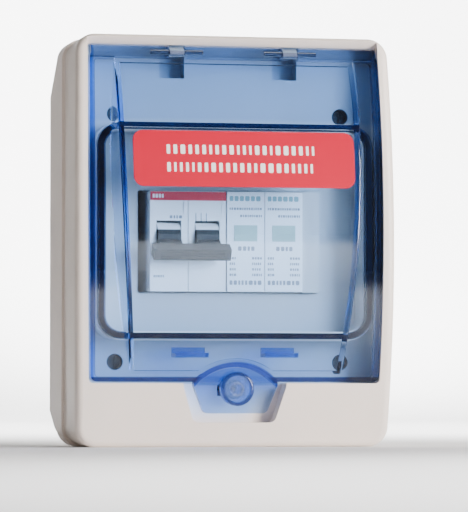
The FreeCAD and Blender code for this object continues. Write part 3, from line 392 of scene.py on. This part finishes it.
def door_painted_shade(nodes, links):
    """The door's colour, painted with shade: darker at the top and bottom edge, painted deeper blue
    on the rims, foot, arc, hooks and latch bay, painted shadow on the tab and far side, and a
    painted dark band over the seal land.
    """
    low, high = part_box("door")
    across, along, up = position(nodes, links)
    aside = math_node(nodes, links, "ABSOLUTE", across)
    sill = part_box("latch_knob")[1][2] - KNOB_ABOVE_SILL
    height = nodes.new("ShaderNodeMapRange")
    height.inputs["From Min"].default_value = low[2]
    height.inputs["From Max"].default_value = high[2]
    links.new(up, height.inputs["Value"])
    span = high[2] - low[2]

    def at(value):
        return (value * MM - low[2]) / span

    # Painted shade: darker blue towards the top and along the bottom edge.
    base = ramp(nodes, links, height.outputs["Result"], [
        (at(-67.0), (0.94, 0.96, 0.99, 1.0)), (at(-63.0), (0.66, 0.76, 0.93, 1.0)),
        (at(-48.0), (0.72, 0.81, 0.94, 1.0)),
        (at(-44.0), (0.86, 0.92, 0.98, 1.0)), (at(-22.0), (0.98, 0.99, 1.0, 1.0)),
        (at(50.0), (0.98, 0.99, 1.0, 1.0)), (at(54.0), (0.62, 0.71, 0.85, 1.0)),
        (at(78.0), (0.57, 0.67, 0.83, 1.0)), (at(81.5), (0.62, 0.53, 0.52, 1.0))])
    above_foot = band(nodes, links, up, sill - 0.2 * MM, sill + 0.6 * MM)
    rims = []
    for side in (-1, 1):
        edge = high[0] * side
        rim = band(nodes, links, across, edge - side * RIM_WIDTH,
                   edge - side * (RIM_WIDTH - 0.9 * MM))
        rims.append(both(nodes, links, rim, above_foot))
    left_rim, right_rim = rims
    arc_reach = distance(nodes, links, across, 0.0, up, knob_middle() - ARC_BELOW_KNOB)
    foot = both(nodes, links, between(nodes, links, up, sill + 0.2 * MM, sill + 2.6 * MM),
                band(nodes, links, arc_reach, ARC_INNER - 0.2 * MM, ARC_OUTER - 0.2 * MM))
    ring = both(nodes, links, ring_mask(nodes, links, across, up),
                band(nodes, links, along, SEAL_LAND_DEPTH - 0.6 * MM, SEAL_LAND_DEPTH))
    arc = between(nodes, links, arc_reach, ARC_INNER, ARC_OUTER, 0.3 * MM)
    bay = both(nodes, links,
               band(nodes, links, arc_reach, ARC_INNER + 0.2 * MM, ARC_INNER - 0.6 * MM),
               band(nodes, links, up, sill - 4.0 * MM, sill + 3.0 * MM))
    tab = band(nodes, links, up, sill + 1.0 * MM, sill - 3.0 * MM)
    far_side = band(nodes, links, across, 53.0 * MM, 61.0 * MM)
    hooks = both(nodes, links, between(nodes, links, up, HOOK_BOTTOM, HOOK_TOP),
                 between(nodes, links, aside, HOOK_NEAR, HOOK_FAR),
                 band(nodes, links, along, SEAL_LAND_DEPTH - 0.8 * MM, SEAL_LAND_DEPTH - 0.2 * MM))
    # Painted shade and deeper blue standing in for light that runs edge-on through the rims, foot,
    # arc, hooks and latch bay; painted shadow on the tab and far side; a painted dark band over the
    # seal land.
    return tinted(nodes, links, base, [
        (left_rim, (0.22, 0.40, 0.86)), (right_rim, (0.42, 0.50, 0.70)),
        (far_side, (0.70, 0.76, 0.82)), (foot, (0.13, 0.14, 0.26)), (ring, (0.035, 0.06, 0.15)),
        (arc, (0.10, 0.20, 0.55)), (bay, (0.26, 0.42, 0.76)),
        (tab, (0.56, 0.66, 0.82)), (hooks, (0.25, 0.50, 0.95))])


def knob_painted_light(nodes, links):
    """The knob's colour with painted light: a painted dark shade round its rim, a lighter face and
    a painted highlight ring round the key slot.
    """
    across, _, up = position(nodes, links)
    reach = distance(nodes, links, across, 0.0, up, knob_middle())
    scale = nodes.new("ShaderNodeMapRange")
    scale.inputs["From Max"].default_value = 8.0 * MM
    links.new(reach, scale.inputs["Value"])
    # Painted shade dark at the rim and a painted highlight ring close round the key slot.
    return ramp(nodes, links, scale.outputs["Result"], [
        (0.26, (0.26, 0.42, 0.76, 1.0)), (0.34, (0.46, 0.60, 0.88, 1.0)),
        (0.44, (0.20, 0.35, 0.70, 1.0)), (0.70, (0.22, 0.37, 0.72, 1.0)),
        (0.80, (0.03, 0.07, 0.26, 1.0)), (0.94, (0.05, 0.11, 0.36, 1.0))])


DOOR_WELL_HALF = 66.4 * MM
DOOR_WELL_BOTTOM = -64.0 * MM
DOOR_WELL_TOP = 88.0 * MM
PANEL_FACE = -60.0 * MM
SCREW_HEAD_RADIUS = 3.4 * MM
SCREW_WELL_RADIUS = 4.1 * MM


def cover_painted_shade(nodes, links, colour):
    """The cover's colour with painted shade: darker behind the door, dark in the screw wells,
    shaded in the hinge pockets and on the hinge ears.
    """
    across, along, up = position(nodes, links)
    aside = math_node(nodes, links, "ABSOLUTE", across)
    inside = both(nodes, links,
                  band(nodes, links, aside, DOOR_WELL_HALF + 0.6 * MM, DOOR_WELL_HALF),
                  between(nodes, links, up, DOOR_WELL_BOTTOM, DOOR_WELL_TOP),
                  band(nodes, links, along, -76.0 * MM, PANEL_FACE - 1.0 * MM))
    deep = band(nodes, links, along, PANEL_FACE + 0.05 * MM, PANEL_FACE + 0.4 * MM)
    # Painted shade, bluish, on the panel behind the door where it sits in the well.
    layers = [(inside, (0.54, 0.64, 0.74))]
    # Painted shade: dark discs in the screw wells.
    screws_low, screws_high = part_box("cover_screws")
    for height in (screws_high[2] - SCREW_HEAD_RADIUS, screws_low[2] + SCREW_HEAD_RADIUS):
        reach = distance(nodes, links, aside, screws_high[0] - SCREW_HEAD_RADIUS, up, height)
        well = band(nodes, links, reach, SCREW_WELL_RADIUS + 0.3 * MM, SCREW_WELL_RADIUS)
        layers.append((both(nodes, links, deep, well), (0.10, 0.13, 0.13)))
    # Painted shadow of the hinge lugs in their pockets.
    pocket = both(nodes, links, deep, between(nodes, links, aside, 20.0 * MM, 32.0 * MM),
                  between(nodes, links, up, 73.0 * MM, 82.2 * MM))
    layers.append((pocket, (0.80, 0.84, 0.90)))
    # Painted shade that dulls the hinge ears, which the top lamp lights.
    ears = both(nodes, links,
                band(nodes, links, along, PANEL_FACE - 2.0 * MM, PANEL_FACE - 4.0 * MM),
                between(nodes, links, aside, 22.0 * MM, 30.0 * MM),
                between(nodes, links, up, 80.0 * MM, 87.8 * MM))
    layers.append((ears, (0.26, 0.40, 0.62)))
    return tinted(nodes, links, colour, layers)


def lever_tint(nodes, links, colour):
    """White on the upper part of the round hubs, above a set height."""
    _, _, up = position(nodes, links)
    hub_top = 5.0 * MM
    mask = band(nodes, links, up, hub_top, hub_top + 0.4 * MM)
    mix = nodes.new("ShaderNodeMix")
    mix.data_type = "RGBA"
    links.new(mask, mix.inputs["Factor"])
    links.new(colour, mix.inputs["A"])
    mix.inputs["B"].default_value = (0.86, 0.85, 0.83, 1.0)
    return mix.outputs["Result"]


def metal(name, colour, rough, stretch=(1.0, 14.0, 1.0)):
    """Plated or machined metal with fine drawn lines and slight stains."""
    material, nodes, links, shader = new_material(name)
    shader.inputs["Metallic"].default_value = 1.0
    place = nodes.new("ShaderNodeMapping")
    place.inputs["Scale"].default_value = stretch
    links.new(nodes.new("ShaderNodeTexCoord").outputs["Object"], place.inputs["Vector"])
    lines = noise(nodes, links, 420.0, 3.0, 0.6, place.outputs["Vector"])
    stain = noise(nodes, links, 60.0, 4.0, 0.6)
    shade = ramp(nodes, links, stain, [(0.35, toned(colour, 0.8)), (0.65, toned(colour, 1.0))])
    links.new(shade, shader.inputs["Base Color"])
    links.new(spread(nodes, links, lines, rough * 0.7, rough * 1.4), shader.inputs["Roughness"])
    add_bump(nodes, links, shader, [(lines, 0.2, 0.02 * MM)])
    return material


def rubber(name, colour):
    """Dull black rubber with a little dust."""
    material, nodes, links, shader = new_material(name)
    dust = noise(nodes, links, 160.0, 5.0, 0.7)
    shade = ramp(nodes, links, dust, [(0.4, toned(colour, 0.8)), (0.75, toned(colour, 1.5))])
    links.new(shade, shader.inputs["Base Color"])
    links.new(spread(nodes, links, dust, 0.5, 0.75), shader.inputs["Roughness"])
    add_bump(nodes, links, shader, [(noise(nodes, links, 1800.0), 0.3, 0.03 * MM)])
    return material


def dress(material, *names):
    """Give CAD nodes a material, in the slots that they already have."""
    for name in names:
        for slot in NODES[name].material_slots:
            slot.material = material


def make_materials():
    """Dress every CAD node in the material that it is made of."""
    case = (0.85, 0.75, 0.67)
    dress(moulded("case_abs", case, gloss=(0.34, 0.46)), "base_tub")
    dress(moulded("cover_abs", case, gloss=(0.34, 0.46), tint=cover_painted_shade), "front_cover")
    dress(tinted_clear("door_polycarbonate", (0.2, 0.57, 0.92), 210.0, door_painted_shade), "door")
    dress(tinted_clear("knob_polycarbonate", (0.25, 0.5, 0.95), 70.0, knob_painted_light, frost=0.06,
                       clarity=0.75), "latch_knob")
    dress(tinted_clear("cam_polycarbonate", (0.25, 0.5, 0.95), 60.0, (0.9, 0.95, 1.0)),
          "latch_cam")
    dress(rubber("seal_rubber", (0.006, 0.009, 0.02)), "base_gasket", "door_gasket", "latch_seal")
    dress(moulded("label_laminate", (0.50, 0.0002, 0.026), gloss=(0.4, 0.5), grain=1400.0,
                  shine=0.15), "label_plate")
    dress(moulded("breaker_white", (0.90, 0.88, 0.86), gloss=(0.3, 0.42)), "breaker_pole_left",
          "breaker_pole_right")
    dress(moulded("surge_white", (0.89, 0.90, 0.89), gloss=(0.3, 0.42)), "surge_left_base",
          "surge_right_base", "surge_left_cartridge", "surge_right_cartridge")
    dress(moulded("blank_abs", (0.50, 0.50, 0.49), gloss=(0.34, 0.46)), "blank_cover")
    grey = (0.04, 0.037, 0.034)
    dress(moulded("lever_grey", grey, gloss=(0.4, 0.5), cloud=0.1, tint=lever_tint),
          "breaker_toggles")
    dress(moulded("tie_bar_grey", grey, gloss=(0.4, 0.5), cloud=0.1), "breaker_tie_bar")
    dress(moulded("stripe_red", (0.66, 0.03, 0.05), gloss=(0.3, 0.4)), "breaker_top_stripe")
    dress(moulded("status_green", (0.42, 0.56, 0.50), gloss=(0.1, 0.16), grain=300.0),
          "surge_left_window", "surge_right_window")
    dress(moulded("clip_grey", (0.45, 0.46, 0.47)), "breaker_din_clip", "surge_left_din_clip",
          "surge_right_din_clip")
    dress(moulded("holder_green", (0.05, 0.30, 0.10)), "earth_bar_holder")
    dress(metal("blackened_steel", (0.055, 0.06, 0.065), 0.5), "cover_screws")
    # The hinge pins' dark blue is painted shade, which sinks them into the shaded band along the
    # top of the door.
    dress(metal("pin_steel_painted_dark", (0.12, 0.19, 0.32), 0.5), "hinge_pins")
    dress(metal("plated_steel", (0.62, 0.62, 0.64), 0.28), "rail_screws",
          "breaker_terminal_screws", "surge_terminal_screws", "earth_bar_screws",
          "earth_bar_anchors", "latch_retainer")
    dress(metal("zinc_steel", (0.70, 0.71, 0.74), 0.34), "din_rail", "breaker_clamps",
          "surge_clamps")
    dress(metal("machined_brass", (0.78, 0.56, 0.24), 0.26), "thread_inserts", "earth_bar",
          "surge_left_blades", "surge_right_blades")
    dress(moulded("wire_brown", (0.13, 0.05, 0.02), gloss=(0.3, 0.4)), "line_wire")
    dress(moulded("wire_blue", (0.02, 0.08, 0.36), gloss=(0.3, 0.4)), "neutral_wire")
    dress(moulded("wire_green", (0.20, 0.42, 0.04), gloss=(0.3, 0.4)), "earth_wires")


# ---------------------------------------------------------------- marks, which spell nothing

LABEL_ARCH_RADIUS = 160.8 * MM
LABEL_ARCH_CENTRE = 8.0 * MM
INK_THICKNESS = 0.05 * MM
CORNER_SHARE = 0.28
CORNER_STEPS = 3


def add_mark(mesh, across, up, width, height, depth_at):
    """One small printed block with rounded corners, lying on a surface of the given depth."""
    radius = min(width, height) * CORNER_SHARE
    outline = []
    for quarter, (side_x, side_z) in enumerate(((1, 1), (-1, 1), (-1, -1), (1, -1))):
        for step in range(CORNER_STEPS + 1):
            angle = math.pi / 2 * (quarter + step / CORNER_STEPS)
            outline.append((
                across + side_x * (width / 2 - radius) + radius * math.cos(angle),
                up + side_z * (height / 2 - radius) + radius * math.sin(angle)))
    faces = []
    for lift in (0.0, INK_THICKNESS):
        faces.append([mesh.verts.new((x, -(depth_at(z) + lift), z)) for x, z in outline])
    mesh.faces.new(faces[1])
    mesh.faces.new(list(reversed(faces[0])))
    count = len(outline)
    for index in range(count):
        following = (index + 1) % count
        mesh.faces.new((faces[0][index], faces[0][following], faces[1][following], faces[1][index]))


def add_row(mesh, chance, start, end, up, height, mean, gap, depth_at):
    """A row of blocks of uneven width, in place of a printed line."""
    across = start
    while across < end - 0.4 * mean:
        width = min(mean * chance.uniform(0.6, 1.3), end - across)
        add_mark(mesh, across + width / 2, up, width, height, depth_at)
        across += width + gap


def finish_marks(name, mesh, material, body):
    """Make the blocks one piece that rides on a body."""
    piece = mesh_object(name, mesh)
    piece.data.materials.append(material)
    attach(piece, body)


def make_label_marks(material):
    """Two rows of blocks on the arched label."""
    low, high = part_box("label_plate")
    sag = LABEL_ARCH_RADIUS - math.sqrt(
        LABEL_ARCH_RADIUS ** 2 - (low[2] - LABEL_ARCH_CENTRE) ** 2)
    peak = -low[1] + sag

    def surface(up):
        lean = math.sqrt(LABEL_ARCH_RADIUS ** 2 - (up - LABEL_ARCH_CENTRE) ** 2)
        return peak - LABEL_ARCH_RADIUS + lean

    chance = random.Random(11)
    mesh = bmesh.new()
    middle = (low[2] + high[2]) / 2
    half = (high[0] - low[0]) * 0.34
    for lift in (4.1 * MM, -3.9 * MM):
        add_row(mesh, chance, -half, half, middle + lift, 4.2 * MM, 1.7 * MM, 1.5 * MM, surface)
    finish_marks("label_marks", mesh, material, "door")


def make_surge_marks(side, ink, accent):
    """A heading and rows of fine blocks above and below a cartridge's status window."""
    low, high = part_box(f"surge_{side}_cartridge")
    window_low, window_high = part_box(f"surge_{side}_window")
    middle = (low[0] + high[0]) / 2
    margin = 1.2 * MM
    left = low[0] + margin
    right = high[0] - margin
    fine_height = 1.1 * MM
    fine_width = 0.8 * MM
    bold_height = 2.0 * MM
    chance = random.Random(5)

    def face(up):
        return -low[1]

    heading = bmesh.new()
    add_row(heading, chance, left, right, window_high[2] + 12.0 * MM, 2.3 * MM, 1.7 * MM,
            0.5 * MM, face)
    finish_marks(f"surge_{side}_heading", heading, accent, f"cartridge_{side}")
    mesh = bmesh.new()
    add_row(mesh, chance, left, right, window_high[2] + 7.4 * MM, fine_height, fine_width,
            0.35 * MM, face)
    add_row(mesh, chance, middle - 2.6 * MM, right, window_high[2] + 4.2 * MM, fine_height,
            fine_width, 0.35 * MM, face)
    add_row(mesh, chance, middle - 3.6 * MM, middle + 4.0 * MM, window_low[2] - 3.3 * MM,
            bold_height, 1.3 * MM, 0.6 * MM, face)
    for line in range(4):
        up = window_low[2] - (7.6 + 2.5 * line) * MM
        for start, end in ((left, left + 3.0 * MM), (right - 4.6 * MM, right)):
            add_row(mesh, chance, start, end, up, fine_height, fine_width, 0.3 * MM, face)
    add_row(mesh, chance, left, right, window_low[2] - 18.6 * MM, bold_height, 1.5 * MM,
            0.6 * MM, face)
    finish_marks(f"surge_{side}_marks", mesh, ink, f"cartridge_{side}")


def make_breaker_marks(ink, pale):
    """Small blocks on the breaker's red stripe and on the fronts of its two poles."""
    stripe_low, stripe_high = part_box("breaker_top_stripe")
    left_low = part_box("breaker_pole_left")[0]
    right_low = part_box("breaker_pole_right")[0]
    chance = random.Random(3)

    def stripe_face(up):
        return -stripe_low[1]

    def face(up):
        return -left_low[1]

    heading = bmesh.new()
    add_row(heading, chance, stripe_low[0] + 1.0 * MM, stripe_low[0] + 6.0 * MM,
            (stripe_low[2] + stripe_high[2]) / 2, 1.7 * MM, 1.2 * MM, 0.35 * MM, stripe_face)
    finish_marks("breaker_stripe_marks", heading, pale, "case")
    mesh = bmesh.new()
    top = stripe_low[2]
    add_row(mesh, chance, left_low[0] + 9.0 * MM, left_low[0] + 15.0 * MM, top - 7.4 * MM,
            1.4 * MM, 1.2 * MM, 0.5 * MM, face)
    for step in range(3):
        add_mark(mesh, right_low[0] + (3.4 + 2.4 * step) * MM, top - 7.6 * MM, 0.35 * MM,
                 4.0 * MM, face)
    add_row(mesh, chance, left_low[0] + 1.6 * MM, left_low[0] + 6.4 * MM, top - 34.0 * MM,
            1.1 * MM, 0.8 * MM, 0.3 * MM, face)
    finish_marks("breaker_marks", mesh, ink, "case")


def make_marks():
    """Blocks in place of all printing, in three inks."""
    ink = moulded("printed_grey", (0.23, 0.25, 0.28), gloss=(0.5, 0.62))
    accent = moulded("printed_green", (0.22, 0.40, 0.40), gloss=(0.5, 0.62))
    pale = moulded("printed_white", (0.86, 0.84, 0.82), gloss=(0.45, 0.6))
    make_label_marks(pale)
    make_breaker_marks(ink, pale)
    for side in ("left", "right"):
        make_surge_marks(side, ink, accent)


make_camera()
make_floor()
make_lights()
make_materials()
make_marks()
